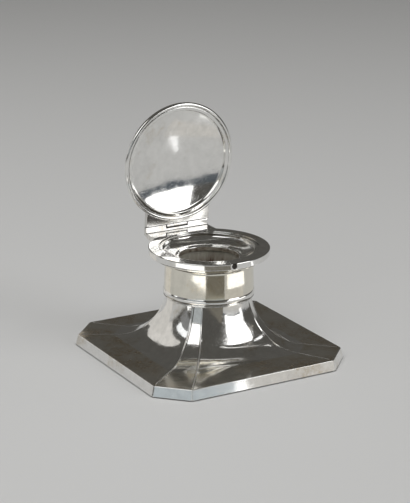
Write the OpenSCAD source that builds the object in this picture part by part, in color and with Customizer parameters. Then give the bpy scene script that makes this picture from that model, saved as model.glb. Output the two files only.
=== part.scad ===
// Desk inkstand of the capstan kind, in millimetres.
// A square foot with cut corners sweeps up to a round neck. A dished well with a glass liner sits in
// the flange, and a domed lid turns on a three-knuckle hinge at the back. The lid stands open at rest.
// Z is up and the table is at Z = 0. The neck's axis is the Z axis, and the hinge is towards +Y.

/* [Foot] */
// Width of the foot across its flats, at the upper edge
foot_w = 109.2; // [96:0.2:130]
// Leg of each cut corner, at the upper edge
corner_leg = 13.6; // [8:0.2:20]
// Height of the foot's upper edge above the table
edge_h = 5.8; // [5.4:0.1:8]
// How far the rim band leans out between its upper edge and the table
band_lean = 1.4; // [0.4:0.1:3]
// Wall of the rim band
band_t = 1; // [0.7:0.1:1.6]
// Height of the rim band's lower edge above the table
band_lift = 0.5; // [0.2:0.1:0.7]
// Thickness of the baize under the foot
baize_t = 0.8; // [0.6:0.1:1.2]
// Thickness of the wooden board that closes the foot
board_t = 3.2; // [2:0.1:3.4]
// Gap between the board and the rim band
board_gap = 0.2; // [0.1:0.05:0.5]

/* [Sweep] */
// Thickness of the pressed sheet of the body
sheet_t = 0.8; // [0.6:0.1:1]
// Height at which the sweep ends under the girdle
throat_h = 34; // [30:0.5:38]
// How far the end of the sweep sits inside the neck's outer face
throat_step = 2; // [1.6:0.1:2.4]
// Width of each corner strip at the throat
strip_w = 4.7; // [3:0.1:8]
// Horizontal reach of the sweep's curve
sweep_run = 22.1; // [19:0.1:26]
// Angle through which the curve turns; 90 would end it upright
sweep_turn = 78; // [74:1:90]
// Rise of the nearly flat margin from the edge to the start of the curve
margin_rise = 0.8; // [0:0.1:1.4]
// Height to which the filling reaches inside the body
fill_top = 28; // [25.5:0.5:29.5]
// Gap between the filling and the sheet
fill_gap = 0.1; // [0.08:0.01:0.2]

/* [Neck] */
// Outer radius of the neck at its foot
neck_r = 23.1; // [22.5:0.1:23.5]
// How much the neck draws in between its foot and the flare, on the radius
neck_taper = 0.5; // [0:0.1:1]
// Wall of the neck
neck_t = 1; // [0.9:0.1:1.2]
// Height at which the neck begins to flare
flare_h = 48.3; // [46:0.1:48.8]
// Radius of the flare's hollow curve
flare_r = 3.5; // [3:0.1:4]
// Width of the flat lip on top of the flare
flare_lip = 1.5; // [0.8:0.1:2]
// Height of the girdle bead
girdle_h = 3.6; // [2.4:0.1:4.6]
// How far the girdle bead stands out from the neck
girdle_out = 0.4; // [0.3:0.1:1.4]
// Height of the small fillet under the girdle bead
girdle_fillet = 0.9; // [0.5:0.1:1.4]
// Gap between that fillet and the body
girdle_gap = 0.1; // [0.08:0.01:0.15]
// Thickness of the collar between the body and the neck
collar_t = 0.8; // [0.6:0.1:1.2]

/* [Flange] */
// Outer radius of the flange
flange_r = 31; // [30:0.1:32]
// Height of the flange's upright edge
flange_edge = 3.5; // [2.8:0.1:3.8]
// Distance from the top of the flare's lip to the top of the flange
flange_h = 4.3; // [4.1:0.1:5]
// Radius of the rounding on the flange's edges
flange_round = 0.5; // [0.3:0.1:0.9]
// Radius of the rebate that the well's lip sits in
rebate_r = 25.5; // [25:0.1:26]
// Depth of that rebate
rebate_d = 1.2; // [1:0.1:1.6]
// Width of the ledge at the bottom of the rebate
ledge_w = 0.8; // [0.6:0.1:1]
// Width of the finger nick in the flange's edge
nick_w = 3; // [2:0.1:4]
// Depth of the finger nick
nick_d = 1; // [0.6:0.1:1.4]
// Angle of the finger nick from the front, towards -X
nick_turn = 6.5; // [0:0.5:15]

/* [Well] */
// Play between the well's lip and the rebate
lip_play = 0.3; // [0.2:0.05:0.5]
// Thickness of the dished well plate
dish_t = 0.8; // [0.6:0.1:1]
// Radius of the hollow curve at the foot of the dish's wall
dish_fillet = 1.2; // [0.8:0.1:1.6]
// Depth of the foot of that wall below the top of the flange
dish_d = 2.8; // [2.4:0.1:3.2]
// Radius of the mouth of the ink well
mouth_r = 15.4; // [13:0.1:16.4]
// Depth of the mouth below the top of the flange
mouth_d = 5; // [4.4:0.1:5.6]
// Length of the spout that hangs from the mouth into the liner
spout_h = 1.6; // [1:0.1:2.4]
// Play between the spout and the glass
glass_play = 0.3; // [0.2:0.05:0.5]
// Wall of the glass liner
glass_t = 1.8; // [1.4:0.1:2.2]
// Height of the liner's underside above the table
glass_foot = 24; // [22:0.5:26]
// How much narrower the liner's outside is at its foot, on the radius
glass_taper = 1.6; // [0.5:0.1:3]
// Play round and under the liner in the filling
well_play = 0.7; // [0.4:0.1:1.2]

/* [Lid] */
// Outer radius of the lid
lid_r = 31.6; // [31:0.1:33]
// Radius of the bead round the lid
bead_r = 1.1; // [0.8:0.05:1.3]
// Gap between the closed lid and the flange
lid_gap = 0.1; // [0.05:0.05:0.3]
// Radius of the hollow inside the lid
hollow_r = 27.4; // [26.2:0.1:27.8]
// Depth of the dome's hollow above its edge
hollow_d = 4.6; // [3.6:0.1:8]
// Thickness of the dome
dome_t = 0.8; // [0.6:0.1:1.1]
// How far the inner ring's edge sits back from the bead's
ring_back = 0.3; // [0.1:0.1:0.6]
// Angle from the closed lid to the lid at rest
lid_open = 87; // [60:1:95]

/* [Hinge] */
// Distance of the hinge pin behind the neck's axis
hinge_y = 34.4; // [34.1:0.1:36]
// Height of the hinge pin above the top of the flange
hinge_z = 2.5; // [2.3:0.1:2.7]
// Length of the hinge
hinge_w = 36.8; // [24:0.2:40]
// Outer radius of the knuckles
knuckle_r = 1.1; // [1:0.05:1.15]
// Radius of the hinge pin
pin_r = 0.5; // [0.4:0.05:0.6]
// Running clearance round the pin, on the radius
pin_play = 0.05; // [0.03:0.01:0.09]
// Gap between neighbouring knuckles and leaves
leaf_gap = 0.2; // [0.12:0.02:0.3]
// Gap under the lid's leaf when the lid is closed
leaf_lift = 0.25; // [0.15:0.05:0.4]
// Thickness of the fixed leaf where it leaves the flange
leaf_t = 2.4; // [1.6:0.1:2.8]
// Thickness of the fixed leaf at its back edge
leaf_tip_t = 1; // [0.6:0.1:1.6]
// How far each end of the pin stands out of its knuckle
pin_out = 0.3; // [0.1:0.1:0.6]

/* [Hidden] */
$fn = 96;

SILVER = [0.80, 0.80, 0.78];
WARM_SILVER = [0.76, 0.74, 0.66];
BAIZE = [0.10, 0.10, 0.09];
WOOD = [0.20, 0.13, 0.08];
PLASTER = [0.78, 0.75, 0.68];
GLASS = [0.72, 0.78, 0.76, 0.5];

eps = 0.01;
side_steps = 8;    // chords along each side of the sweep
curve_steps = 14;  // rings along the sweep's curve
arc_steps = 8;     // chords along a small turned curve

// How much the leg of a cut corner grows when all eight sides move out by one
leg_growth = 2 - sqrt(2);

foot_hs = foot_w / 2;
throat_r = neck_r - throat_step;
neck_top_r = neck_r - neck_taper;
girdle_top = throat_h + girdle_h / 2;
neck_foot = throat_h + collar_t;
strip_apothem = sqrt(pow(throat_r, 2) - pow(strip_w / 2, 2));
throat_hs = (strip_apothem + strip_w / 2) / sqrt(2);
throat_leg = strip_w / sqrt(2);
throat_bulge = throat_r - throat_hs;
curve_hs = throat_hs + sweep_run;
curve_z = edge_h + margin_rise;
sweep_rise = throat_h - curve_z;

lean_rate = band_lean / edge_h;
shell_edge_z = edge_h - sheet_t;
board_grow = lean_rate * sheet_t - band_t - board_gap;
board_top = baize_t + board_t;

flare_top = flare_h + flare_r + neck_t;
flange_top = flare_top + flange_h;
lip_r = rebate_r - lip_play;
ledge_z = flange_top - rebate_d;
bore_r = rebate_r - ledge_w;

mouth_z = flange_top - mouth_d;
glass_top = mouth_z - dish_t;
glass_in_r = mouth_r + dish_t + glass_play;
glass_r = glass_in_r + glass_t;
glass_foot_r = glass_r - glass_taper;
well_r = glass_r + well_play;
well_floor = glass_foot - well_play;

pin_y = hinge_y;
pin_z = flange_top + hinge_z;
knuckle_w = hinge_w / 3;
rim_z = flange_top + lid_gap;
bead_z = rim_z + bead_r;
bead_major = lid_r - bead_r;
dome_z = rim_z + 2 * bead_r;
leaf_front = pin_y - knuckle_r - leaf_gap;
upstand_z = pin_z - knuckle_r - leaf_gap;

// Points of an arc in a profile, from angle a0 to a1 about c
function arc(c, r, a0, a1, n) =
    [for (i = [0:n]) let (a = a0 + (a1 - a0) * i / n) [c[0] + r * cos(a), c[1] + r * sin(a)]];

// How far a side bows out at y from its middle, for a half length h and a bow of b
function bow(y, h, b) =
    b < eps ? 0 : let (rad = (h * h + b * b) / (2 * b)) sqrt(rad * rad - y * y) - rad + b;

// Closed ring at height z: four sides that may bow out, joined by four flat corner strips
function ring(hs, leg, b, z, n) = [
    for (k = [0:3], j = [0:n])
        let (h = hs - leg, y = h * (2 * j / n - 1), x = hs + bow(y, h, b))
        [x * cos(90 * k) - y * sin(90 * k), x * sin(90 * k) + y * cos(90 * k), z]
];

// Straight-sided ring of the foot, moved out by grow
function foot_ring(grow, z, n) = ring(foot_hs + grow, corner_leg + leg_growth * grow, 0, z, n);

// Ring on the sweep: phi is 0 at the flat margin and sweep_turn at the throat, and t is the depth below
// the face
function sweep_ring(phi, t) =
    let (
        inward = sin(phi) / sin(sweep_turn),
        below = (cos(phi) - cos(sweep_turn)) / (1 - cos(sweep_turn)),
        hs = curve_hs - sweep_run * inward,
        share = (hs - throat_hs) / (foot_hs - throat_hs),
        leg = throat_leg + (corner_leg - throat_leg) * share
    )
    ring(
        hs - t * inward, leg - leg_growth * t * inward, throat_bulge * pow(inward, 2),
        throat_h - (sweep_rise + t) * below, side_steps
    );

// Value of phi at the given drop below the throat, for a sweep of the given rise
function sweep_angle(drop, rise) = acos(cos(sweep_turn) + (1 - cos(sweep_turn)) * drop / rise);

// Skin over a stack of rings, closed by flat ends or joined back to its first ring
module loft(rings, looped = false) {
    n = len(rings[0]);
    m = len(rings);
    sides = [
        for (i = [0:looped ? m - 1 : m - 2], j = [0:n - 1])
            let (
                a = i * n + j, b = i * n + (j + 1) % n,
                c = (i + 1) % m * n + (j + 1) % n, d = (i + 1) % m * n + j
            )
            each [[a, d, c], [a, c, b]]
    ];
    foot = m * n;
    head = foot + 1;
    ends = looped ? [] : [
        for (j = [0:n - 1])
            let (k = (j + 1) % n, top = (m - 1) * n)
            each [[foot, j, k], [head, top + k, top + j]]
    ];
    centres = looped ? [] : [[0, 0, rings[0][0][2]], [0, 0, rings[m - 1][0][2]]];
    polyhedron(points = concat([for (r = rings) each r], centres), faces = concat(sides, ends), convexity = 6);
}

// Profile across the hinge, given as [y, z], drawn along X from x0 to x1
module along_x(x0, x1, points) {
    translate([x0, 0, 0]) rotate([90, 0, 90]) linear_extrude(x1 - x0) polygon(points);
}

module rod_x(x0, x1, r) {
    translate([x0, pin_y, pin_z]) rotate([0, 90, 0]) cylinder(r = r, h = x1 - x0);
}

// Turns the lid, drawn closed, back to where it stands at rest
module opened() {
    translate([0, pin_y, pin_z]) rotate([-lid_open, 0, 0]) translate([0, -pin_y, -pin_z]) children();
}

module foot_plate(grow, z0, z1) {
    translate([0, 0, z0]) linear_extrude(z1 - z0)
        polygon([for (p = foot_ring(grow, 0, 1)) [p[0], p[1]]]);
}

module baize_pad() {
    color(BAIZE) foot_plate(board_grow - board_gap, 0, baize_t);
}

module base_board() {
    color(WOOD) foot_plate(board_grow, baize_t, board_top);
}

module rim_band() {
    low = lean_rate * (edge_h - band_lift);
    high = lean_rate * sheet_t;
    color(SILVER) loft([
        foot_ring(low, band_lift, 1), foot_ring(high, shell_edge_z, 1),
        foot_ring(high - band_t, shell_edge_z, 1), foot_ring(low - band_t, band_lift, 1)
    ], looped = true);
}

// Cast loading that backs the sheet and leaves a socket for the liner
module body_filling() {
    depth = sheet_t + fill_gap;
    last = sweep_angle(throat_h - fill_top, sweep_rise + depth);
    color(PLASTER) difference() {
        loft(concat(
            [foot_ring(board_grow, board_top, side_steps), foot_ring(board_grow, shell_edge_z, side_steps)],
            [for (i = [0:curve_steps]) sweep_ring(last * i / curve_steps, depth)]
        ));
        translate([0, 0, well_floor]) cylinder(r = well_r, h = throat_h);
    }
}

// Pressed body: square with cut corners at the foot and round at the throat
module body_shell() {
    steps = [for (i = [0:curve_steps]) sweep_turn * i / curve_steps];
    color(SILVER) loft(concat(
        [foot_ring(lean_rate * sheet_t, shell_edge_z, side_steps), foot_ring(0, edge_h, side_steps)],
        [for (phi = steps) sweep_ring(phi, 0)],
        [for (i = [curve_steps:-1:0]) sweep_ring(steps[i], sheet_t)]
    ), looped = true);
}

// Ring that joins body and neck: a flat collar between them, a bead outside and a small fillet under it
module girdle_ring() {
    half = girdle_h / 2;
    foot_z = throat_h - half - girdle_fillet;
    bead = (half * half + girdle_out * girdle_out) / (2 * girdle_out);
    reach = asin(half / bead);
    body_ring = sweep_ring(sweep_angle(throat_h - foot_z, sweep_rise), 0);
    inner_r = max([for (p = body_ring) norm([p[0], p[1]])]) + girdle_gap;
    color(SILVER) rotate_extrude() polygon(concat(
        [[throat_r - sheet_t, neck_foot], [throat_r - sheet_t, throat_h], [inner_r, throat_h]],
        [[inner_r, foot_z], [(inner_r + neck_r) / 2, foot_z]],
        arc([neck_r + girdle_out - bead, throat_h], bead, -reach, reach, 2 * arc_steps),
        [[neck_r, neck_foot]]
    ));
}

// Spun neck: a plain tube that flares in a hollow curve to carry the flange
module neck_tube() {
    c = [neck_top_r + flare_r, flare_h];
    color(WARM_SILVER) rotate_extrude() polygon(concat(
        [[neck_r - neck_t, neck_foot], [neck_r, neck_foot], [neck_r, girdle_top]],
        arc(c, flare_r, 180, 90, arc_steps),
        [[c[0] + flare_lip, flare_h + flare_r], [c[0] + flare_lip, flare_top]],
        arc(c, flare_r + neck_t, 90, 180, arc_steps)
    ));
}

// Heavy ring with a rounded edge, a rebate for the well's lip and a finger nick at the front
module rim_flange() {
    q = flange_round;
    low = flange_top - flange_edge;
    flat_r = neck_top_r + flare_r + flare_lip;
    ball = (pow(nick_w / 2, 2) + nick_d * nick_d) / (2 * nick_d);
    color(SILVER) difference() {
        rotate_extrude() polygon(concat(
            [[bore_r, flare_top], [flat_r, flare_top]],
            arc([flange_r - q, low + q], q, -60, 0, 3),
            arc([flange_r - q, flange_top - q], q, 0, 90, 4),
            [[rebate_r, flange_top], [rebate_r, ledge_z], [bore_r, ledge_z]]
        ));
        rotate([0, 0, -nick_turn])
            translate([0, -(flange_r + ball - nick_d), flange_top - nick_w / 2]) sphere(r = ball);
    }
}

// Leaf on the flange: a plate with a sloping underside, an upstand and the two outer knuckles
module hinge_fixed_leaf() {
    back = pin_y + knuckle_r;
    front = pin_y - knuckle_r;
    color(SILVER) difference() {
        union() {
            along_x(-hinge_w / 2, hinge_w / 2, [
                [0, flange_top], [front, flange_top], [front, upstand_z], [back, upstand_z],
                [back, flange_top - leaf_tip_t], [flange_r, flange_top - leaf_t], [0, flange_top - leaf_t]
            ]);
            for (x = [-hinge_w / 2, knuckle_w / 2 + leaf_gap / 2]) {
                rod_x(x, x + knuckle_w - leaf_gap / 2, knuckle_r);
                translate([x, front, upstand_z - eps])
                    cube([knuckle_w - leaf_gap / 2, 2 * knuckle_r, pin_z - upstand_z + eps]);
            }
        }
        cylinder(r = flange_r, h = 2 * flange_top);
        rod_x(-hinge_w, hinge_w, pin_r);
    }
}

module hinge_pin() {
    color(SILVER) rod_x(-hinge_w / 2 - pin_out, hinge_w / 2 + pin_out, pin_r);
}

// Dished plate of the well: lip in the rebate, upright wall, easy slope, level seat and spout
module well_dish() {
    lip_z = ledge_z + dish_t;
    foot_z = flange_top - dish_d;
    seat_r = glass_r + glass_play;
    wall_out = bore_r - lip_play;
    wall_in = wall_out - dish_t;
    spout_z = mouth_z - spout_h - dish_t;
    q = dish_t / 2;
    c = [wall_in - dish_fillet, foot_z + dish_fillet];
    turn = 75;
    color(SILVER) rotate_extrude() polygon(concat(
        [[mouth_r, spout_z], [mouth_r + dish_t, spout_z], [mouth_r + dish_t, glass_top], [seat_r, glass_top]],
        arc(c, dish_fillet + dish_t, -turn, 0, 5),
        [[wall_out, ledge_z], [lip_r, ledge_z], [lip_r, lip_z]],
        arc([wall_in + q, lip_z - q], q, 90, 180, 4),
        arc(c, dish_fillet, 0, -turn, 5),
        [[seat_r, mouth_z]],
        arc([mouth_r + q, mouth_z - q], q, 90, 180, 4)
    ));
}

// Glass tumbler under the dish, open at the mouth, with a rounded foot
module glass_liner() {
    q = glass_t;
    in_foot_r = glass_foot_r - glass_t;
    floor_z = glass_foot + glass_t;
    color(GLASS) rotate_extrude() polygon(concat(
        [[0, glass_foot]],
        arc([glass_foot_r - q, glass_foot + q], q, -90, 0, 5),
        [[glass_r, glass_top], [glass_in_r, glass_top]],
        arc([in_foot_r - q, floor_z + q], q, 0, -90, 5),
        [[0, floor_z]]
    ));
}

// Shallow dome with a flat rim that rests on the bead and the inner ring
module lid_dome() {
    ball = (hollow_r * hollow_r + hollow_d * hollow_d) / (2 * hollow_d);
    centre_z = dome_z + hollow_d - ball;
    rim_top = dome_z + dome_t;
    out_r = sqrt(pow(ball + dome_t, 2) - pow(rim_top - centre_z, 2));
    color(SILVER) opened() rotate_extrude() {
        difference() {
            union() {
                intersection() {
                    translate([0, centre_z]) circle(r = ball + dome_t, $fn = 360);
                    translate([0, dome_z]) square([out_r, 2 * hollow_d]);
                }
                translate([0, dome_z]) square([bead_major, dome_t]);
            }
            translate([0, centre_z]) circle(r = ball, $fn = 360);
            translate([-4 * ball, -4 * ball]) square([4 * ball, 8 * ball]);
        }
    }
}

module lid_inner_ring() {
    q = ring_back;
    outer_r = bead_major - bead_r;
    low = rim_z + ring_back;
    color(SILVER) opened() rotate_extrude() polygon(concat(
        [[hollow_r, dome_z]],
        arc([hollow_r + q, low + q], q, 180, 270, 4),
        arc([outer_r - q, low + q], q, -90, 0, 4),
        [[outer_r, dome_z]]
    ));
}

module lid_bead() {
    color(SILVER) opened() rotate_extrude() translate([bead_major, bead_z]) circle(r = bead_r, $fn = 48);
}

// Wedge between the round lid and the straight hinge, with the middle knuckle
module hinge_lid_leaf() {
    leaf_top = dome_z + dome_t;
    half = knuckle_w / 2 - leaf_gap / 2;
    color(SILVER) opened() difference() {
        union() {
            along_x(-hinge_w / 2, hinge_w / 2, [
                [0, flange_top + leaf_lift], [leaf_front, flange_top + leaf_lift],
                [leaf_front, leaf_top], [0, leaf_top]
            ]);
            along_x(-half, half, [
                [leaf_front - eps, pin_z - knuckle_r + leaf_gap], [pin_y, pin_z - knuckle_r + leaf_gap],
                [pin_y, leaf_top], [leaf_front - eps, leaf_top]
            ]);
            rod_x(-half, half, knuckle_r);
        }
        cylinder(r = lid_r, h = dome_z);
        cylinder(r = bead_major, h = 2 * dome_z);
        rod_x(-hinge_w, hinge_w, pin_r + pin_play);
    }
}

baize_pad();
base_board();
rim_band();
body_filling();
body_shell();
girdle_ring();
neck_tube();
rim_flange();
hinge_fixed_leaf();
hinge_pin();
well_dish();
glass_liner();
lid_dome();
lid_inner_ring();
lid_bead();
hinge_lid_leaf();
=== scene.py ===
"""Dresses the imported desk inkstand: polished silver, glass liner with dried ink, board and baize."""
import math

import bmesh
import bpy
from mathutils import Matrix, Vector


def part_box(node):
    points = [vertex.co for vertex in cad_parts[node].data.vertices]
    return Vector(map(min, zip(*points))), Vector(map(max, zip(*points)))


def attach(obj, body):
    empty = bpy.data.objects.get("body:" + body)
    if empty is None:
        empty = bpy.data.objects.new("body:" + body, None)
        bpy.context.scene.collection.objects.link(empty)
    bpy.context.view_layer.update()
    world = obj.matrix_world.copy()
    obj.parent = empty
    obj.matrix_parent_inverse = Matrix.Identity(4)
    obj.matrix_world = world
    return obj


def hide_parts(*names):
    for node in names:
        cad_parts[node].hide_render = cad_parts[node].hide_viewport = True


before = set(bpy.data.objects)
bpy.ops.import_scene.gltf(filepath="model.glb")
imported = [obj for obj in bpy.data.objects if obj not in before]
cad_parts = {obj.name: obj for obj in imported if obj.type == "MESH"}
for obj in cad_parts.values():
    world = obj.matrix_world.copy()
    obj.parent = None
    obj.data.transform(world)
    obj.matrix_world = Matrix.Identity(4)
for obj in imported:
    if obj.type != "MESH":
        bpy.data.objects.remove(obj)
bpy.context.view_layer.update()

MM = 0.001

# Foot and sweep, in millimetres, as the CAD nodes have them
FOOT_HALF = 54.6
CORNER_LEG = 13.6
EDGE_H = 5.8
BAND_LEAN = 1.4
BAND_WALL = 1.0
BAND_LIFT = 0.5
SHEET = 0.8
STRIP_W = 4.7
SWEEP_RUN = 22.1
SWEEP_TURN = 78
MARGIN_RISE = 0.8
LEG_GROWTH = 2 - math.sqrt(2)

# Neck and girdle
NECK_R = 23.1
NECK_TOP_R = NECK_R - 0.5
NECK_WALL = 1.0
THROAT_R = NECK_R - 2.0
THROAT_H = 34.0
NECK_FOOT = THROAT_H + 0.8
GIRDLE_TOP = THROAT_H + 1.8

# Flange, well and liner
FLANGE_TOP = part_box("rim_flange")[1].z / MM
FLANGE_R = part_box("rim_flange")[1].x / MM
LINER_WALL = 1.8

# Lid and hinge, with the lid drawn closed
PIN_Y = 34.4
PIN_Z = FLANGE_TOP + 2.5
LID_OPEN = 87
LID_R = 31.6
BEAD_R = 1.1
RIM_R = LID_R - BEAD_R
RIM_Z = FLANGE_TOP + 0.1
DOME = 0.8
DOME_Z = RIM_Z + 2 * BEAD_R
HOLLOW_R = 27.4
HOLLOW_D = 4.6
HINGE_HALF = 18.4
KNUCKLE_W = 2 * HINGE_HALF / 3
KNUCKLE_R = 1.1
HINGE_FRONT = PIN_Y - KNUCKLE_R
HINGE_BACK = PIN_Y + KNUCKLE_R
PIN_R = 0.5
PIN_END = 0.3
GAP = 0.2
JOINT = 0.5

# How finely the pieces are drawn
LATHE_STEPS = 288
SIDE_PARTS = 36
SOFT_PARTS = 10
STRIP_PARTS = 6
FILLET_STEP = 9
HINGE_PARTS = 40
NEARLY_HALF = 0.49
TINY = 1e-6
MERGE_REACH = 1e-7


# Mesh helpers


def make(name, verts, faces, material, body, node=None, sharp=32, bevel=0.0, slot=None):
    """A smooth-shaded piece in millimetres, riding on a body and standing for a CAD node."""
    mesh = bpy.data.meshes.new(name)
    mesh.from_pydata([(x * MM, y * MM, z * MM) for x, y, z in verts], [], faces)
    build = bmesh.new()
    build.from_mesh(mesh)
    bmesh.ops.remove_doubles(build, verts=build.verts, dist=MERGE_REACH)
    bmesh.ops.recalc_face_normals(build, faces=build.faces)
    build.to_mesh(mesh)
    build.free()
    mesh.polygons.foreach_set("use_smooth", [True] * len(mesh.polygons))
    mesh.set_sharp_from_angle(angle=math.radians(sharp))
    mesh.materials.append(material)
    piece = bpy.data.objects.new(name, mesh)
    bpy.context.scene.collection.objects.link(piece)
    if bevel:
        edges = piece.modifiers.new("rounded edges", "BEVEL")
        edges.width = bevel * MM
        edges.segments = 3
        edges.limit_method = "ANGLE"
        edges.angle_limit = math.radians(sharp)
    normals = piece.modifiers.new("face normals", "WEIGHTED_NORMAL")
    normals.keep_sharp = True
    normals.weight = 60
    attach(piece, body)
    if node:
        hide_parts(node)
    return piece


def relook(piece, material, test):
    """Gives another material to the faces that the test picks, by face and place in millimetres."""
    materials = piece.data.materials
    if material.name not in materials:
        materials.append(material)
    slot = materials.find(material.name)
    for face in piece.data.polygons:
        if test(face, face.center / MM):
            face.material_index = slot


def fillet(points, closed=True):
    """Profile with its corners rounded: each point is (r, z) or (r, z, radius)."""
    out = []
    count = len(points)
    for i, point in enumerate(points):
        radius = point[2] if len(point) > 2 else 0
        here = Vector(point[:2])
        if radius == 0 or (not closed and i in (0, count - 1)):
            out.append((here.x, here.y))
            continue
        to_last = Vector(points[i - 1][:2]) - here
        to_next = Vector(points[(i + 1) % count][:2]) - here
        angle = to_last.angle(to_next)
        reach = radius / math.tan(angle / 2)
        room = NEARLY_HALF * min(to_last.length, to_next.length)
        if reach > room:
            radius *= room / reach
            reach = room
        to_last.normalize()
        to_next.normalize()
        centre = here + (to_last + to_next).normalized() * (radius / math.sin(angle / 2))
        start = here + to_last * reach - centre
        end = here + to_next * reach - centre
        turn = start.angle_signed(end)
        parts = max(2, math.ceil(abs(math.degrees(turn)) / FILLET_STEP))
        for j in range(parts + 1):
            spun = Matrix.Rotation(-turn * j / parts, 2) @ start
            out.append((centre.x + spun.x, centre.y + spun.y))
    return out


def arc(centre, radius, start, end, parts):
    """Points on a circle from one angle to another, both in degrees."""
    points = []
    for i in range(parts + 1):
        a = math.radians(start + (end - start) * i / parts)
        points.append((centre[0] + radius * math.cos(a), centre[1] + radius * math.sin(a)))
    return points


def finely(profile, longest, closed=True):
    """Splits the long straight runs of a profile, so that its shading stays even."""
    out = []
    pairs = zip(profile, profile[1:] + profile[:1]) if closed else zip(profile, profile[1:])
    for (r0, z0), (r1, z1) in pairs:
        parts = max(1, math.ceil(math.hypot(r1 - r0, z1 - z0) / longest))
        out += [(r0 + (r1 - r0) * i / parts, z0 + (z1 - z0) * i / parts) for i in range(parts)]
    if not closed:
        out.append(profile[-1])
    return out


def lathe(profile, closed=True, steps=LATHE_STEPS):
    """Turns a profile of (r, z) about the Z axis. An open profile starts and ends on the axis."""
    verts, rows = [], []
    for r, z in profile:
        if r < TINY:
            rows.append([len(verts)] * steps)
            verts.append((0, 0, z))
            continue
        rows.append(list(range(len(verts), len(verts) + steps)))
        for i in range(steps):
            a = 2 * math.pi * i / steps
            verts.append((r * math.cos(a), r * math.sin(a), z))
    faces = []
    pairs = list(zip(rows, rows[1:]))
    if closed:
        pairs.append((rows[-1], rows[0]))
    for low, high in pairs:
        for i in range(steps):
            j = (i + 1) % steps
            face = []
            for v in (low[i], low[j], high[j], high[i]):
                if v not in face:
                    face.append(v)
            if len(face) > 2:
                faces.append(face)
    return verts, faces


def stack(rings):
    """Closed skin over rings of points, where the last ring joins the first."""
    count = len(rings[0])
    verts = [point for ring in rings for point in ring]
    faces = []
    for i in range(len(rings)):
        low, high = i * count, (i + 1) % len(rings) * count
        for j in range(count):
            k = (j + 1) % count
            faces.append((low + j, low + k, high + k, high + j))
    return verts, faces


def slab(sections):
    """Solid along X from (x, [(y, z), ...]) sections with the same number of points."""
    count = len(sections[0][1])
    verts = [(x, y, z) for x, points in sections for y, z in points]
    faces = []
    for i in range(len(sections) - 1):
        low, high = i * count, (i + 1) * count
        for j in range(count):
            k = (j + 1) % count
            faces.append((low + j, low + k, high + k, high + j))
    faces.append(tuple(range(count - 1, -1, -1)))
    faces.append(tuple(range((len(sections) - 1) * count, len(sections) * count)))
    return verts, faces


def joined(*solids):
    """Several solids as the parts of one piece."""
    verts, faces = [], []
    for more_verts, more_faces in solids:
        base = len(verts)
        verts += more_verts
        faces += [tuple(base + v for v in face) for face in more_faces]
    return verts, faces


def stations(x0, x1, parts):
    """Evenly spaced values from one to another, with both ends."""
    return [x0 + (x1 - x0) * i / parts for i in range(parts + 1)]


# Rings of the foot and of the body's sweep

# Places of a quarter's two ridges, counted in its faces
RIDGES = (SOFT_PARTS / 2 - 0.5, SOFT_PARTS * 1.5 + SIDE_PARTS - 0.5)


def soft_corner(before, corner, after, groove, crest):
    """Rounds a corner of a ring, and may cut a narrow groove or raise a crest along it."""
    points = []
    out = corner.normalized()
    narrow = 1.6
    for i in range(1, SOFT_PARTS):
        t = i / SOFT_PARTS
        point = before * (1 - t) ** 2 + corner * 2 * t * (1 - t) + after * t * t
        point -= out * groove * max(0, 1 - abs(2 * t - 1) * narrow)
        swell = math.sin(math.pi * t) ** 2
        point += out * crest[0] * swell
        points.append((point, crest[1] * swell))
    return points


def outline(half, leg, bow, z, arris, groove=0.0, crest=(0.0, 0.0)):
    """Ring of the foot or sweep: four sides that may bow out and four corner strips. The groove is
    the mitre seam at one corner, and the crest of each ridge is given outwards and upwards."""
    widest = 0.3
    h = half - leg
    ball = (h * h + bow * bow) / (2 * bow) if bow > TINY else None

    def side(y):
        return half + (math.sqrt(ball * ball - y * y) - ball + bow if ball else 0)

    ring = []
    strip = Vector((-1, 1)).normalized()
    strip_len = leg * math.sqrt(2)
    w = min(arris, strip_len * widest)
    first, last = Vector((half, -h)), Vector((half, h))
    enter, leave = Vector((side(-h + w), -h + w)), Vector((side(h - w), h - w))
    before, after = first - Vector((1, 1)).normalized() * w, last + strip * w
    for k in range(4):
        quarter = Matrix.Rotation(math.radians(90 * k), 2)
        points = [(before, 0)]
        points += soft_corner(before, first, enter, groove if k == 3 else 0, crest)
        points += [(Vector((side(y), y)), 0) for y in stations(-h + w, h - w, SIDE_PARTS)]
        points += soft_corner(leave, last, after, 0, crest)
        for i in range(STRIP_PARTS):
            points.append((after + strip * ((strip_len - 2 * w) * i / STRIP_PARTS), 0))
        ring += [(quarter @ point, lift) for point, lift in points]
    return [(point.x, point.y, z + lift) for point, lift in ring]


def foot_outline(grow, z, arris, groove=0.0):
    """Ring of the foot, grown outwards by the same amount on every side."""
    return outline(FOOT_HALF + grow, CORNER_LEG + LEG_GROWTH * grow, 0, z, arris, groove)


strip_apothem = math.sqrt(THROAT_R ** 2 - (STRIP_W / 2) ** 2)
throat_half = (strip_apothem + STRIP_W / 2) / math.sqrt(2)
throat_leg = STRIP_W / math.sqrt(2)
throat_bulge = THROAT_R - throat_half
curve_half = throat_half + SWEEP_RUN
sweep_rise = THROAT_H - (EDGE_H + MARGIN_RISE)


def ridge_leg(half):
    """The ridges run straight, seen from above, from the throat to the foot's corners."""
    return throat_leg + (CORNER_LEG - throat_leg) * (half - throat_half) / (FOOT_HALF - throat_half)


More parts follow.
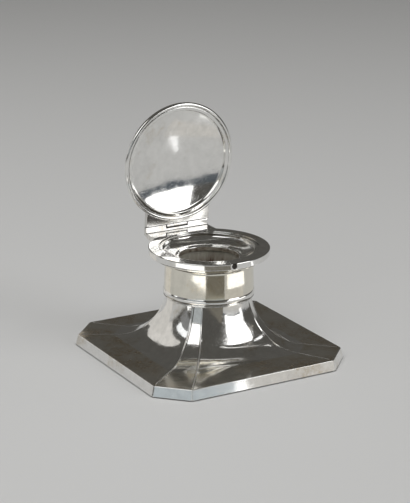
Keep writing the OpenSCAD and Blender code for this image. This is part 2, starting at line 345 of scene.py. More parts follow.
def sweep_outline(phi, depth, arris, crest=0.0):
    """Ring on the sweep: phi is 0 at the flat margin and SWEEP_TURN at the throat."""
    angle, end = math.radians(phi), math.radians(SWEEP_TURN)
    s = math.sin(angle) / math.sin(end)
    c = (math.cos(angle) - math.cos(end)) / (1 - math.cos(end))
    half = curve_half - SWEEP_RUN * s
    facing = Vector((sweep_rise * math.sin(angle), SWEEP_RUN * math.cos(angle))).normalized()
    return outline(
        half - depth * s,
        ridge_leg(half) - LEG_GROWTH * depth * s,
        throat_bulge * s ** 2,
        THROAT_H - (sweep_rise + depth) * c,
        arris,
        crest=tuple(facing * crest),
    )


# Materials


class Shader:
    """Small helper that adds and links nodes of one material."""

    def __init__(self, name):
        self.material = bpy.data.materials.new(name)
        self.material.use_nodes = True
        self.tree = self.material.node_tree
        self.surface = self.tree.nodes["Principled BSDF"].inputs
        self.place = self.add("ShaderNodeTexCoord").outputs["Object"]

    def add(self, kind, **settings):
        node = self.tree.nodes.new(kind)
        for key, value in settings.items():
            setattr(node, key, value)
        return node

    def link(self, source, target):
        self.tree.links.new(source, target)

    def scaled(self, scale, rotation=(0, 0, 0)):
        mapping = self.add("ShaderNodeMapping")
        mapping.inputs["Scale"].default_value = scale
        mapping.inputs["Rotation"].default_value = rotation
        self.link(self.place, mapping.inputs["Vector"])
        return mapping.outputs["Vector"]

    def noise(self, per_metre, detail=3.0, rough=0.5, vector=None):
        texture = self.add("ShaderNodeTexNoise")
        texture.inputs["Scale"].default_value = per_metre
        texture.inputs["Detail"].default_value = detail
        texture.inputs["Roughness"].default_value = rough
        self.link(vector or self.place, texture.inputs["Vector"])
        return texture.outputs["Fac"]

    def ramp(self, source, *stops):
        """Turns a number into a grey level or a colour, from stops of (place, value)."""
        node = self.add("ShaderNodeValToRGB")
        ramp = node.color_ramp
        while len(ramp.elements) < len(stops):
            ramp.elements.new(0.5)
        for element, (place, value) in zip(ramp.elements, stops):
            element.position = place
            color = value if isinstance(value, tuple) else (value,) * 3
            element.color = (*color, 1)
        self.link(source, node.inputs["Fac"])
        return node.outputs["Color"]

    def mix(self, factor, a, b):
        node = self.add("ShaderNodeMix", data_type="RGBA")
        self.link(factor, node.inputs[0])
        for value, socket in ((a, node.inputs[6]), (b, node.inputs[7])):
            if isinstance(value, tuple):
                socket.default_value = (*value, 1)
            else:
                self.link(value, socket)
        return node.outputs[2]

    def math(self, operation, a, b):
        node = self.add("ShaderNodeMath", operation=operation)
        self.link(a, node.inputs[0])
        if isinstance(b, (int, float)):
            node.inputs[1].default_value = b
        else:
            self.link(b, node.inputs[1])
        return node.outputs[0]

    def bump(self, height, depth, normal=None):
        node = self.add("ShaderNodeBump")
        node.inputs["Strength"].default_value = 1
        node.inputs["Distance"].default_value = depth
        self.link(height, node.inputs["Height"])
        if normal:
            self.link(normal, node.inputs["Normal"])
        return node.outputs["Normal"]


CLEAN_COLOR = (0.90, 0.895, 0.875)
TARNISH_COLOR = (0.56, 0.47, 0.33)
TARNISH_EDGE = 0.14
TARNISH_ROUGH = 0.16
DULL_SHARE = 0.55
DULL_COLOR = 0.74
CLOUD_ROUGH = 0.11
SCRATCH_ROUGH = 0.08
WAVE_DEPTH = 0.0003
DENT_DEPTH = 0.00003
SCRATCH_DEPTH = 0.000005

# Scale along each axis and turn of the three sets of crossing hair scratches
SCRATCH_SETS = (
    ((110, 5600, 700), (0.3, 0.5, 0.9)),
    ((5200, 100, 650), (0.9, 0.2, 0.4)),
    ((420, 130, 5000), (0.2, 1.1, 1.9)),
)


def silver(name, color=CLEAN_COLOR, tarnish=TARNISH_COLOR, tarnish_at=0.56, ripple=1.0, rough=0.04):
    """Old polished silver: slow ripples, small dents, crossing hair scratches and warm tarnish."""
    s = Shader(name)
    s.surface["Metallic"].default_value = 1.0

    patches = s.ramp(s.noise(46, 5, 0.62), (tarnish_at, 0.0), (tarnish_at + TARNISH_EDGE, 1.0))
    mottle = s.ramp(s.noise(520, 6, 0.7), (0.38, 0.1), (0.66, 1.0))
    stain = s.math("MULTIPLY", patches, mottle)
    dull = s.ramp(s.noise(240, 6, 0.7), (0.4, 0.0), (0.75, 1.0))
    toned = s.mix(s.math("MULTIPLY", dull, DULL_SHARE), color, tuple(c * DULL_COLOR for c in color))
    s.link(s.mix(stain, toned, tarnish), s.surface["Base Color"])

    scratches = None
    for scale, turn in SCRATCH_SETS:
        more = s.noise(1, 1, 0.5, s.scaled(scale, turn))
        scratches = s.math("MAXIMUM", scratches, more) if scratches else more
    hairs = s.ramp(scratches, (0.69, 0.0), (0.8, 1.0))

    cloud = s.ramp(s.noise(190, 5, 0.65), (0.3, rough), (0.75, rough + CLOUD_ROUGH))
    worn = s.math("ADD", cloud, s.math("MULTIPLY", stain, TARNISH_ROUGH))
    s.link(s.math("ADD", worn, s.math("MULTIPLY", hairs, SCRATCH_ROUGH)), s.surface["Roughness"])

    waves = s.bump(s.noise(48, 1.5, 0.4), WAVE_DEPTH * ripple)
    dents = s.bump(s.noise(210, 2, 0.5), DENT_DEPTH * ripple, waves)
    s.link(s.bump(hairs, SCRATCH_DEPTH, dents), s.surface["Normal"])
    return s.material


def glass_material():
    """Clear glass with a little haze and slow waves."""
    s = Shader("liner_glass")
    s.surface["Base Color"].default_value = (0.93, 0.96, 0.95, 1)
    s.surface["Transmission Weight"].default_value = 1.0
    s.surface["IOR"].default_value = 1.5
    s.link(s.ramp(s.noise(260, 4), (0.3, 0.03), (0.8, 0.2)), s.surface["Roughness"])
    s.link(s.bump(s.noise(90, 2), 0.0001), s.surface["Normal"])
    return s.material


def plain(name, dark, light, rough, per_metre, depth):
    """Matt stuff with a mottled colour and a fine grain."""
    s = Shader(name)
    mottle = s.ramp(s.noise(per_metre, 5), (0.3, 0.0), (0.7, 1.0))
    s.link(s.mix(mottle, dark, light), s.surface["Base Color"])
    wear = s.noise(per_metre * 2, 3)
    s.link(s.ramp(wear, (0.2, rough - 0.1), (0.8, rough + 0.05)), s.surface["Roughness"])
    s.link(s.bump(s.noise(per_metre * 6, 4), depth), s.surface["Normal"])
    return s.material


def ink_film():
    """Old ink on glass: dark red-brown low down, a greyish haze with runs higher up."""
    dark_below, haze_above = 0.0395, 0.0505
    run_reach = 1.1
    s = Shader("dried_ink")
    height = s.add("ShaderNodeSeparateXYZ")
    s.link(s.place, height.inputs[0])
    level = s.add("ShaderNodeMapRange")
    level.inputs["From Min"].default_value = dark_below
    level.inputs["From Max"].default_value = haze_above
    s.link(height.outputs["Z"], level.inputs["Value"])
    runs = s.noise(1, 4, 0.6, s.scaled((420, 420, 90)))
    drips = s.math("MULTIPLY", s.math("SUBTRACT", runs, 0.5), run_reach)
    color = s.ramp(
        s.math("ADD", level.outputs[0], drips),
        (0.12, (0.014, 0.008, 0.007)),
        (0.3, (0.085, 0.045, 0.03)),
        (0.46, (0.27, 0.235, 0.19)),
        (0.95, (0.5, 0.48, 0.41)),
    )
    s.link(color, s.surface["Base Color"])
    s.link(s.ramp(runs, (0.3, 0.25), (0.7, 0.5)), s.surface["Roughness"])
    s.link(s.bump(s.noise(600, 4, 0.6), 0.0001), s.surface["Normal"])
    return s.material


SILVER = silver("silver")
WARM = silver("warm_silver", (0.87, 0.84, 0.75), (0.66, 0.57, 0.41))
RIM = silver("rim_silver", ripple=0.08, rough=0.11)
HINGE = silver("hinge_silver", (0.8, 0.79, 0.765), rough=0.2)
LID = silver("lid_silver", tarnish_at=0.64, ripple=0.35, rough=0.045)
EDGE = silver("worn_edge_silver", (0.95, 0.945, 0.93), rough=0.45)
MARGIN = silver("margin_silver", (0.88, 0.855, 0.79), (0.56, 0.44, 0.29), 0.45, rough=0.085)
GLASS = glass_material()
INK = ink_film()
STAIN = plain("ink_stain", (0.11, 0.08, 0.055), (0.36, 0.33, 0.27), 0.45, 500, 0.0001)
# Near-black painted shade for the hinge's joints, gaps and undersides and for the flange's finger nick
PAINTED_SHADE = plain("painted_shade", (0.012, 0.010, 0.009), (0.05, 0.04, 0.03), 0.5, 900, 0.0001)
WOOD = plain("dark_wood", (0.03, 0.018, 0.01), (0.09, 0.05, 0.03), 0.6, 240, 0.0001)
BAIZE = plain("baize", (0.008, 0.008, 0.008), (0.03, 0.03, 0.028), 0.95, 1600, 0.0002)
PLASTER = plain("plaster", (0.5, 0.46, 0.4), (0.72, 0.69, 0.62), 0.9, 300, 0.0002)


# Foot, body and neck


def rim_band():
    """Sloped band round the foot, with a small round below and a rolled edge above."""
    arris, seam = 0.9, 0.5
    toe, roll, roll_start = 0.25, 0.45, 8
    lip, lip_drop, inner_drop = 0.25, 0.12, 0.3
    parts = 8
    lean = BAND_LEAN / EDGE_H
    low = lean * (EDGE_H - BAND_LIFT)
    toe_top, roll_low = BAND_LIFT + toe, EDGE_H - roll
    profile = arc((low - toe, toe_top), toe, -90, 0, 4)
    for z in stations(toe_top, roll_low, parts)[1:-1]:
        profile.append((lean * (EDGE_H - z), z))
    for i, (r, z) in enumerate(arc((-roll, roll_low), roll, roll_start, 90, parts)):
        profile.append((r + lean * roll * (1 - i / parts), z))
    profile += [(-roll - lip, EDGE_H - lip_drop), (-BAND_WALL, EDGE_H - inner_drop)]
    profile += [(low - BAND_WALL, BAND_LIFT)]
    verts, faces = stack([foot_outline(grow, z, arris, seam) for grow, z in profile])
    make("rim_band_silver", verts, faces, RIM, "stand", "rim_band")


def body_shell():
    """Pressed body: tucked edge, nearly flat margin, sweep, and the sheet's inside back down."""
    arris, crest, tuck, lap = 0.85, 0.2, 0.6, 0.05
    margin_parts, sweep_parts, coarse = 16, 72, 6
    worn_rings = range(2, margin_parts + 40)
    start, low = FOOT_HALF - tuck, EDGE_H - lap
    rings = [foot_outline(-tuck, EDGE_H - SHEET, arris), foot_outline(-tuck, low, arris)]
    for i in range(1, margin_parts):
        t = i / margin_parts
        half = start + (curve_half - start) * t
        z = low + (MARGIN_RISE + lap) * t
        rings.append(outline(half, ridge_leg(half), 0, z, arris, crest=(0.0, crest * (1 + t) / 2)))
    phis = stations(0, SWEEP_TURN, sweep_parts)
    rings += [sweep_outline(phi, 0, arris, crest) for phi in phis]
    rings += [sweep_outline(phi, SHEET, arris) for phi in phis[::-coarse]]
    body = make("body_silver", *stack(rings), SILVER, "stand", "body_shell", sharp=50)
    count = len(rings[0])

    def on_margin(face, spot):
        return face.index // count < margin_parts

    def on_ridge(face, spot):
        ring, step = face.index // count, face.index % (count // 4)
        width = 2 if on_margin(face, spot) else 1
        return ring in worn_rings and min(abs(step - ridge) for ridge in RIDGES) < width

    relook(body, EDGE, on_ridge)
    relook(body, MARGIN, lambda face, spot: on_margin(face, spot) and not on_ridge(face, spot))


def girdle_ring():
    """Collar between body and neck: a broad bead, a thin one under it and a cove down to the body."""
    out, small, inset, nearly_all = 0.4, 0.42, 0.02, 0.97
    top, low = GIRDLE_TOP, THROAT_H - 1.3
    half = (top - low) / 2
    bead = (half * half + out * out) / (2 * out)
    reach = math.degrees(math.asin(half / bead)) * nearly_all
    inner_r, seat_r, groove_r = THROAT_R - SHEET, NECK_R - inset, NECK_R - 0.16
    small_r, small_z = NECK_R - 0.25, low - small
    cove_r, cove_z, cove_round = NECK_R - 0.95, THROAT_H - 2.35, 0.5
    foot_r, foot_z = THROAT_R + 0.62, THROAT_H - 2.7
    under_r, under_z = THROAT_R - 0.1, THROAT_H - 2.5
    profile = [(inner_r, NECK_FOOT), (seat_r, NECK_FOOT), (seat_r, top - 2 * inset)]
    profile += arc((NECK_R + out - bead, (top + low) / 2), bead, reach, -reach, 20)
    profile += [(groove_r, low - inset)]
    profile += arc((small_r, small_z), small, 55, -60, 10)
    cove = [(NECK_R - 0.35, small_z - small * nearly_all), (cove_r, cove_z, cove_round), (foot_r, foot_z)]
    profile += fillet(cove, closed=False)
    profile += [(under_r, under_z), (inner_r, THROAT_H)]
    make("girdle_silver", *lathe(profile), SILVER, "stand", "girdle_ring")


def neck_tube():
    """Plain neck that tapers a little and flares out under the flange."""
    flare_h, flare_r, lip = 48.3, 3.5, 1.5
    centre = (NECK_TOP_R + flare_r, flare_h)
    out_r, low, top = centre[0] + lip, flare_h + flare_r, flare_h + flare_r + NECK_WALL
    profile = [(NECK_R - NECK_WALL, NECK_FOOT), (NECK_R, NECK_FOOT), (NECK_R, GIRDLE_TOP)]
    profile += arc(centre, flare_r, 180, 90, 24)
    profile += [(out_r, low), (out_r, top)]
    profile += arc(centre, flare_r + NECK_WALL, 90, 180, 24)
    make("neck_silver", *lathe(finely(profile, 1.6)), WARM, "stand", "neck_tube")


def rim_flange():
    """Heavy flange with a rebate for the well dish and a finger nick at the front."""
    edge, lift, neck_seat_r = 3.5, 4.3, 27.6
    rebate_r, rebate_d, ledge = 25.5, 1.2, 0.8
    under, sag, side, top_round, rebate_round, seat_round = 0.35, 0.05, 0.4, 0.5, 0.22, 0.1
    low = FLANGE_TOP - edge
    profile = fillet(
        [
            (rebate_r - ledge, FLANGE_TOP - lift),
            (neck_seat_r, FLANGE_TOP - lift, seat_round),
            (FLANGE_R - under, low - sag, under),
            (FLANGE_R, low + side, side),
            (FLANGE_R, FLANGE_TOP, top_round),
            (rebate_r, FLANGE_TOP, rebate_round),
            (rebate_r, FLANGE_TOP - rebate_d),
            (rebate_r - ledge, FLANGE_TOP - rebate_d, seat_round),
        ]
    )
    verts, faces = lathe(finely(profile, 0.4), steps=480)

    nick_w, nick_d, nick_turn = 3.0, 1.0, math.radians(6.5)
    ball = ((nick_w / 2) ** 2 + nick_d ** 2) / (2 * nick_d)
    reach = FLANGE_R + ball - nick_d
    centre = Vector((-reach * math.sin(nick_turn), -reach * math.cos(nick_turn), FLANGE_TOP - nick_w / 2))
    for i, point in enumerate(verts):
        away = Vector(point) - centre
        if away.length < ball:
            verts[i] = tuple(centre + away.normalized() * ball)
    flange = make("flange_silver", verts, faces, SILVER, "stand", "rim_flange")
    hairsbreadth = 1.01
    # The finger nick is painted near-black: painted shade in the recess
    relook(flange, PAINTED_SHADE, lambda face, spot: (spot - centre).length < ball * hairsbreadth)


# Well and liner


def well_dish():
    """Dished plate: a rolled lip, a fold, a dip down to the mouth and a short spout."""
    plate, spout, fold, fold_turn = 0.8, 1.6, 1.2, 75
    lip_r, lip_z, ledge_z = 25.2, FLANGE_TOP - 0.4, FLANGE_TOP - 1.2
    wall_out, foot_z = 24.4, FLANGE_TOP - 2.8
    mouth_r, mouth_z, seat_r = 15.4, FLANGE_TOP - 5.0, 18.6
    dip_parts, dip_ease, stain_top, step = 16, 1.6, 0.5, 0.1
    roll = plate / 2
    wall_in, dip_r = wall_out - plate, seat_r - 1.2
    centre = (wall_in - fold, foot_z + fold)
    slope = arc(centre, fold, 0, -fold_turn, 12)
    start = slope[-1]
    dip = []
    for i in range(1, dip_parts):
        t = i / dip_parts
        sag = 1 - (1 - t) ** dip_ease
        dip.append((start[0] + (dip_r - start[0]) * t, start[1] + (mouth_z - start[1]) * sag))
    spout_z = mouth_z - spout - plate
    profile = [(mouth_r, spout_z), (mouth_r + plate, spout_z)]
    profile += [(mouth_r + plate, mouth_z - plate), (seat_r, mouth_z - plate)]
    profile += arc(centre, fold + plate, -fold_turn, 0, 12)
    profile += fillet(
        [
            (wall_out, ledge_z - step),
            (wall_out, ledge_z),
            (lip_r, ledge_z, 0.1),
            (lip_r, lip_z, 0.2),
            (wall_in + roll + step, lip_z),
        ],
        closed=False,
    )
    profile += arc((wall_in + roll, lip_z - roll), roll, 90, 180, 8)
    profile += slope + dip + [(dip_r, mouth_z)]
    profile += arc((mouth_r + roll, mouth_z - roll), roll, 90, 180, 8)
    dish = make("well_dish_silver", *lathe(finely(profile, 1.2)), SILVER, "liner", "well_dish")

    def in_spout(face, spot):
        return math.hypot(spot.x, spot.y) < mouth_r + roll and spot.z < mouth_z - stain_top

    relook(dish, STAIN, in_spout)


def glass_liner():
    """Ink liner, with a thick floor rounded into its tapering wall."""
    low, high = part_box("glass_liner")
    taper, lip, clear = 1.6, 0.3, 0.05
    foot, top, radius = low.z / MM, high.z / MM - clear, high.x / MM
    profile = fillet(
        [
            (0, foot),
            (radius - taper, foot, LINER_WALL),
            (radius, top, lip),
            (radius - LINER_WALL, top, lip),
            (radius - LINER_WALL - taper, foot + LINER_WALL, LINER_WALL),
            (0, foot + LINER_WALL),
        ],
        closed=False,
    )
    verts, faces = lathe(finely(profile, longest=2, closed=False), closed=False)
    make("liner_glass", verts, faces, GLASS, "liner", "glass_liner")


def dried_ink():
    """Film of old ink on the inside of the liner: a crust on the floor, thinner up the wall."""
    low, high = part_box("glass_liner")
    floor_z, top = low.z / MM + LINER_WALL, high.z / MM - 0.5
    floor_r, top_r, clear, film, crust = 14.86, 16.4, 0.02, 0.1, 0.5
    profile = fillet(
        [
            (0, floor_z + clear),
            (floor_r - film, floor_z + clear, 1.9),
            (top_r - clear, top, 0.05),
            (top_r - film, top, 0.03),
            (floor_r - 0.35, floor_z + 3, 2),
            (floor_r - 2.5, floor_z + 0.7, 1.5),
            (0, floor_z + crust),
        ],
        closed=False,
    )
    verts, faces = lathe(profile, closed=False, steps=144)
    make("dried_ink", verts, faces, INK, "liner", slot="glass")


# Lid


def opened(verts):
    """Turns points of the closed lid about the pin to where it rests."""
    pivot = Vector((0, PIN_Y, PIN_Z))
    turn = Matrix.Rotation(math.radians(-LID_OPEN), 3, "X")
    return [tuple(turn @ (Vector(v) - pivot) + pivot) for v in verts]


def lid_dome():
    """Shallow dome of even wall on a flat rim."""
    ball = (HOLLOW_R ** 2 + HOLLOW_D ** 2) / (2 * HOLLOW_D)
    centre = DOME_Z + HOLLOW_D - ball
    rim_top, rim_round, lap, parts = DOME_Z + DOME, 0.3, 0.1, 40
    out_r = math.sqrt((ball + DOME) ** 2 - (rim_top - centre) ** 2)
    inside, outside = (math.degrees(math.acos(c)) for c in (HOLLOW_R / ball, out_r / (ball + DOME)))
    profile = [(0, centre + ball)] + arc((0, centre), ball, 90, inside, parts)[1:]
    rim = [(HOLLOW_R + lap, DOME_Z), (RIM_R, DOME_Z)]
    rim += [(RIM_R, rim_top, rim_round), (out_r + rim_round, rim_top)]
    profile += fillet(rim, closed=False)
    profile += arc((0, centre), ball + DOME, outside, 90, parts)[:-1] + [(0, centre + ball + DOME)]
    verts, faces = lathe(profile, closed=False)
    make("lid_dome_silver", opened(verts), faces, LID, "lid", "lid_dome")


def lid_ring():
    """Ring between the bead and the hollow, with softened edges."""
    out_r, low = RIM_R - BEAD_R, RIM_Z + 0.3
    ring = fillet([(HOLLOW_R, DOME_Z), (HOLLOW_R, low, 0.5), (out_r, low, 0.35), (out_r, DOME_Z)])
    verts, faces = lathe(finely(ring, 0.8))
    make("lid_ring_silver", opened(verts), faces, SILVER, "lid", "lid_inner_ring")


def lid_bead():
    """Bead round the lid, whose section is a whole circle."""
    parts = 24
    last_turn = 360 - 360 / parts
    verts, faces = lathe(arc((RIM_R, RIM_Z + BEAD_R), BEAD_R, 0, last_turn, parts - 1))
    make("lid_bead_silver", opened(verts), faces, SILVER, "lid", "lid_bead")


# Hinge

# Least part of a face's normal along an axis, for the face to count as turned that way
STEEP = 0.9


def at_joint(face, spot):
    """End of a knuckle where the leaves meet."""
    near = 1
    return abs(face.normal.x) > STEEP and abs(spot.x) < KNUCKLE_W / 2 + near


def hinge_fixed():
    """Leaf on the flange: a plate with two knuckles, and painted shade where they meet the third."""
    leaf_t, tip, lap, clear, step, slope, near = 2.4, 1.0, 0.55, 0.02, 0.3, 0.35, 0.05
    top, seat = FLANGE_TOP, PIN_Z - KNUCKLE_R - GAP
    plate = []
    for x in stations(-HINGE_HALF, HINGE_HALF, HINGE_PARTS):
        y = math.sqrt((FLANGE_R - lap) ** 2 - x * x)
        plate.append((x, [
            (y, top + clear),
            (HINGE_FRONT - slope, top + clear),
            (HINGE_FRONT, top + step),
            (HINGE_FRONT, seat),
            (HINGE_BACK, seat),
            (HINGE_BACK, top - tip),
            (FLANGE_R + step, top - leaf_t),
            (y, top - leaf_t),
        ]))
    barrel = [(HINGE_FRONT, seat - GAP)] + arc((PIN_Y, PIN_Z), KNUCKLE_R, 180, 0, 16)
    barrel += [(HINGE_BACK, seat - GAP)]
    inner = (KNUCKLE_W + JOINT) / 2
    left = slab([(x, barrel) for x in stations(-HINGE_HALF, -inner, 6)])
    right = slab([(x, barrel) for x in stations(inner, HINGE_HALF, 6)])
    solid = joined(slab(plate), left, right)
    fixed = make("hinge_fixed_silver", *solid, HINGE, "stand", "hinge_fixed_leaf", bevel=0.14)
    # Painted shade on the knuckles' ends where the leaves meet, and on the plate's seat under the lid's
    # knuckle
    relook(fixed, PAINTED_SHADE, at_joint)
    relook(fixed, PAINTED_SHADE, lambda face, spot: face.normal.z > STEEP and abs(spot.z - seat) < near)


def hinge_pin():
    """Pin with rounded silver ends and painted shade between them."""
    end, end_round = HINGE_HALF + PIN_END, 0.25
    corners = [(0, -end), (PIN_R, -end, end_round), (PIN_R, end, end_round), (0, end)]
    profile = finely(fillet(corners, closed=False), longest=3, closed=False)
    verts, faces = lathe(profile, closed=False, steps=32)
    verts = [(z, PIN_Y + y, PIN_Z + x) for x, y, z in verts]
    pin = make("hinge_pin_silver", verts, faces, SILVER, "stand", "hinge_pin")
    # Painted shade on the pin between its ends, where it shows in the gaps between the knuckles
    relook(pin, PAINTED_SHADE, lambda face, spot: abs(spot.x) < HINGE_HALF - PIN_END)


def hinge_lid():
    """Leaf on the lid: a wedge behind the bead, two fine steps that follow it, and the knuckle."""
    lap, front = 0.35, HINGE_FRONT - GAP
    low, top = FLANGE_TOP + 0.25, DOME_Z + DOME
    under, slope, lip, inset = low + 0.4, 0.35, 0.1, 0.05
    wedge = []
    for x in stations(-HINGE_HALF, HINGE_HALF, HINGE_PARTS):
        y = math.sqrt((LID_R - lap) ** 2 - x * x)
        wedge.append((x, [
            (y, under),
            (front - slope, under),
            (front, low + lip),
            (front, top),
            (math.sqrt(RIM_R ** 2 - x * x), top),
            (y, top - DOME),
        ]))
    solids = [slab(wedge)]
    for reach, drop in ((0.6, 0.12), (1.2, -0.12)):
        step_low, step_top = low - drop, low + 0.6
        step = []
        for x in stations(-HINGE_HALF + lip, HINGE_HALF - lip, 48):
            inner = math.sqrt((LID_R - lap) ** 2 - x * x)
            outer = min(math.sqrt((LID_R + reach) ** 2 - x * x), front - inset)
            step.append((x, [(inner, step_low), (outer, step_low), (outer, step_top), (inner, step_top)]))
        solids.append(slab(step))
    above, below = 147, -125
    knuckle = [(front - GAP, top)] + arc((PIN_Y, PIN_Z), KNUCKLE_R, above, below, 22)
    knuckle += [(front - GAP, PIN_Z - KNUCKLE_R + GAP)]
    half = (KNUCKLE_W - JOINT) / 2
    solids.append(slab([(x, knuckle) for x in stations(-half, half, 6)]))
    verts, faces = joined(*solids)
    leaf = make("hinge_lid_silver", opened(verts), faces, HINGE, "lid", "hinge_lid_leaf", bevel=0.1)
    downward = -0.7
    # Painted shade on the wedge's underside and on the knuckle's ends where the leaves meet
    relook(leaf, PAINTED_SHADE, lambda face, spot: face.normal.z < downward and spot.z > PIN_Z + KNUCKLE_R)
    relook(leaf, PAINTED_SHADE, lambda face, spot: at_joint(face, spot) and abs(spot.x) < KNUCKLE_W / 2)


for build_piece in (
    rim_band,
    body_shell,
    girdle_ring,
    neck_tube,
    rim_flange,
    well_dish,
    glass_liner,
    dried_ink,
    lid_dome,
    lid_ring,
    lid_bead,
    hinge_fixed,
    hinge_pin,
    hinge_lid,
):
    build_piece()

for node, material in (("base_board", WOOD), ("baize_pad", BAIZE), ("body_filling", PLASTER)):
    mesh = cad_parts[node].data
    mesh.materials.clear()
    mesh.materials.append(material)


# Studio. A turn is an angle from the camera's direction, positive to its right.

CAMERA_AZIMUTH = 30.51
CAMERA_ELEVATION = 20.90
CAMERA_DISTANCE = 0.9524
CAMERA_YAW = 0.13
CAMERA_PITCH = 3.10
CAMERA_ROLL = -0.55
CAMERA_LENS = 131.6
FLOOR_COLOR = (0.6, 0.6, 0.595)
FLOOR_REACH = 2.5
DARK_ROOM = (0.085, 0.082, 0.075)


def camera():
    """The photograph's view: aimed at the foot's centre, then turned a little to frame it."""
    az, el = math.radians(CAMERA_AZIMUTH), math.radians(CAMERA_ELEVATION)
    back = Vector((-math.sin(az) * math.cos(el), -math.cos(az) * math.cos(el), math.sin(el)))
    forward = -back
    right = forward.cross(Vector((0, 0, 1))).normalized()
    up = right.cross(forward)
    yaw = Matrix.Rotation(math.radians(CAMERA_YAW), 3, "Y")
    pitch = Matrix.Rotation(math.radians(CAMERA_PITCH), 3, "X")
    roll = Matrix.Rotation(math.radians(CAMERA_ROLL), 3, "Z")
    right, up, forward = roll @ pitch @ yaw @ Matrix((right, up, forward))
    data = bpy.data.cameras.new("camera")
    data.sensor_width = 36
    data.lens = CAMERA_LENS
    cam = bpy.data.objects.new("camera", data)
    bpy.context.scene.collection.objects.link(cam)
    spin = Matrix((right, up, -forward)).transposed().to_4x4()
    cam.matrix_world = Matrix.Translation(back * CAMERA_DISTANCE) @ spin
    bpy.context.scene.camera = cam


def staged(name, verts, faces, material):
    """Sheet of the studio, which isn't part of the object."""
    mesh = bpy.data.meshes.new(name)
    mesh.from_pydata(verts, [], faces)
    mesh.materials.append(material)
    sheet = bpy.data.objects.new(name, mesh)
    bpy.context.scene.collection.objects.link(sheet)
    return sheet


def floor():
    """Plain pale table."""
    s = Shader("studio_floor")
    s.surface["Base Color"].default_value = (*FLOOR_COLOR, 1)
    s.surface["Roughness"].default_value = 0.9
    corners = [(x * FLOOR_REACH, y * FLOOR_REACH, 0) for x, y in ((-1, -1), (1, -1), (1, 1), (-1, 1))]
    staged("studio_floor", corners, [(0, 1, 2, 3)], s.material)


def area_lamp(name, width, height, radiance):
    """Rectangular lamp of an even radiance, which the camera doesn't see."""
    data = bpy.data.lights.new(name, "AREA")
    data.shape = "RECTANGLE"
    data.size, data.size_y = width, height
    data.energy = radiance * math.pi * width * height
    lamp = bpy.data.objects.new(name, data)
    bpy.context.scene.collection.objects.link(lamp)
    lamp.visible_camera = False
    return lamp


def overhead():
    """Broad lamp above that lights the table but doesn't show in the metal."""
    across, radiance = 1.3, 3.2
    lamp = area_lamp("overhead", across, across, radiance)
    lamp.location = (-0.2, -0.1, 1.6)
    lamp.visible_glossy = False


def toward(turn):
    """Angle in radians from the X axis to a turn."""
    return math.radians(turn - 90 - CAMERA_AZIMUTH)


def softbox(name, turn, rise, width, distance, radiance, color=(1, 1, 1), shown=True):
    """Upright lamp at a distance in metres: its rise is from one elevation to another, and its width
    is in degrees. The metal shows it or not."""
    a = toward(turn)
    bottom, top = (distance * math.tan(math.radians(elevation)) for elevation in rise)
    lamp = area_lamp(name, 2 * distance * math.tan(math.radians(width / 2)), top - bottom, radiance)
    lamp.data.color = color
    lamp.location = (distance * math.cos(a), distance * math.sin(a), (bottom + top) / 2)
    lamp.rotation_euler = (math.radians(90), 0, a + math.radians(90))
    lamp.visible_glossy = shown


def reflected(name, edges, color, strength):
    """Glowing sheet that only reflections show, from edges that are pairs of points. A point is a
    turn, a reach in mm and a height in mm."""
    material = bpy.data.materials.new(name)
    material.use_nodes = True
    nodes = material.node_tree.nodes
    nodes.clear()
    light = nodes.new("ShaderNodeEmission")
    light.inputs["Color"].default_value = (*color, 1)
    light.inputs["Strength"].default_value = strength
    output = nodes.new("ShaderNodeOutputMaterial")
    material.node_tree.links.new(light.outputs[0], output.inputs["Surface"])
    verts = []
    for turn, reach, height in (point for edge in edges for point in edge):
        a = toward(turn)
        verts.append((reach * math.cos(a) * MM, reach * math.sin(a) * MM, height * MM))
    faces = [(2 * i, 2 * i + 2, 2 * i + 3, 2 * i + 1) for i in range(len(edges) - 1)]
    sheet = staged(name, verts, faces, material)
    sheet.visible_camera = sheet.visible_diffuse = sheet.visible_shadow = sheet.visible_transmission = False


def card(name, turns, reach, bottoms, tops, color, strength, lean=(0, 0), flare=0):
    """Upright card, from left to right: two turns, and heights in mm of its lower and upper corners.
    On their way up its sides may lean by a turn, and the card may flare out."""
    edges = []
    for t in stations(0, 1, 8):
        edge = []
        for (left_z, right_z), share in ((bottoms, 0), (tops, 1)):
            left, right = (turn + by * share for turn, by in zip(turns, lean))
            edge.append((left + (right - left) * t, reach + flare * share, left_z + (right_z - left_z) * t))
        edges.append(edge)
    reflected(name, edges, color, strength)


def floor_shade():
    """Dark far part of the table that only the lid shows, as a wavy band above the bright panel."""
    near, far, lift = 700, 2150, 1
    first_turn, last_turn = 25, 100
    edges = []
    for t in stations(0, 1, 48):
        wave = 60 * math.sin(9 * t) + 45 * math.sin(21 * t + 1) - 260 * max(0, 1 - t * 4)
        turn = first_turn + (last_turn - first_turn) * t
        edges.append([(turn, near + wave, lift), (turn, far, lift)])
    reflected("floor_shade", edges, (0.75, 0.88, 1), 0.11)


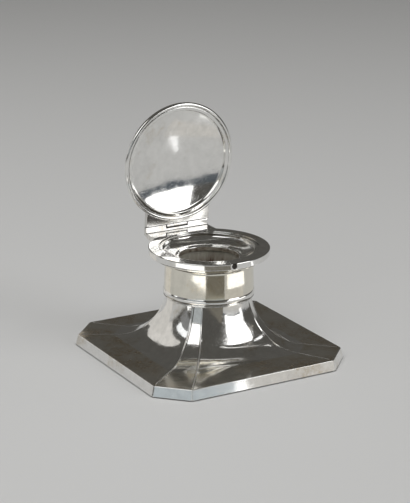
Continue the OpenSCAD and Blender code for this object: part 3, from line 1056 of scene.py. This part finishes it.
camera()
floor()
overhead()

# Lamps round the object, and the bright panel that the metal shows in place of the key. A lamp has
# its turn, rise, width, distance, radiance and colour.
WHITE, WARM_WHITE, COOL_WHITE = (1, 0.99, 0.97), (1, 0.97, 0.92), (0.86, 0.95, 1)
softbox("key", 65, (1.6, 43), 30, 2.2, 2.8, shown=False)
card("panel_right", (45, 83), 2200, (12, 12), (1780, 1780), (1, 1, 1), 2.8, lean=(18, -2))
card("panel_spot", (84, 94), 900, (730, 730), (830, 830), (1, 1, 1), 1.5)
softbox("back_left", -118, (1, 30), 27, 0.9, 0.6, (1, 0.97, 0.93))
softbox("left", -90, (9, 31), 11, 0.9, 1.1, (0.96, 0.98, 1))
softbox("left_fade", -74, (4, 30), 20, 0.95, 0.15, (0.93, 0.96, 1))
softbox("front_left", -34, (30, 62), 44, 1.1, 1.5)
softbox("front_low", -34, (7, 29), 44, 1.1, 0.36, (0.88, 0.96, 1))

# Small cards round the foot, for the neck, the rim band and the lid. A card has its turns, reach,
# lower and upper heights, colour and strength.
card("card_right", (37, 80), 46, (34.5, 33.5), (41, 41), WHITE, 1.4, flare=4.7)
card("card_front", (-55, -7), 100, (30, 21), (36, 34), WHITE, 1.5)
card("card_left", (-134, -103), 100, (6, 6), (36, 36), WARM_WHITE, 0.62)
card("card_dark", (-7, 36), 100, (17, 17), (36, 36), (1, 0.93, 0.78), 0.17)
card("card_olive", (-7, 36), 101, (12, 12), (17, 17), (1, 0.95, 0.78), 0.3)
card("card_corner", (-30, 36), 102, (0.5, 0.5), (12, 12), COOL_WHITE, 0.52)
card("card_low", (38, 88), 100, (0.5, 0.5), (22, 22), WARM_WHITE, 0.56)
card("card_streak", (71, 82), 100, (36, 0), (40, 24), (1, 1, 1), 1.3)
floor_shade()

world = bpy.data.worlds.new("studio")
bpy.context.scene.world = world
world.use_nodes = True
world.node_tree.nodes["Background"].inputs["Color"].default_value = (*DARK_ROOM, 1)
bpy.context.scene.view_settings.view_transform = "Standard"
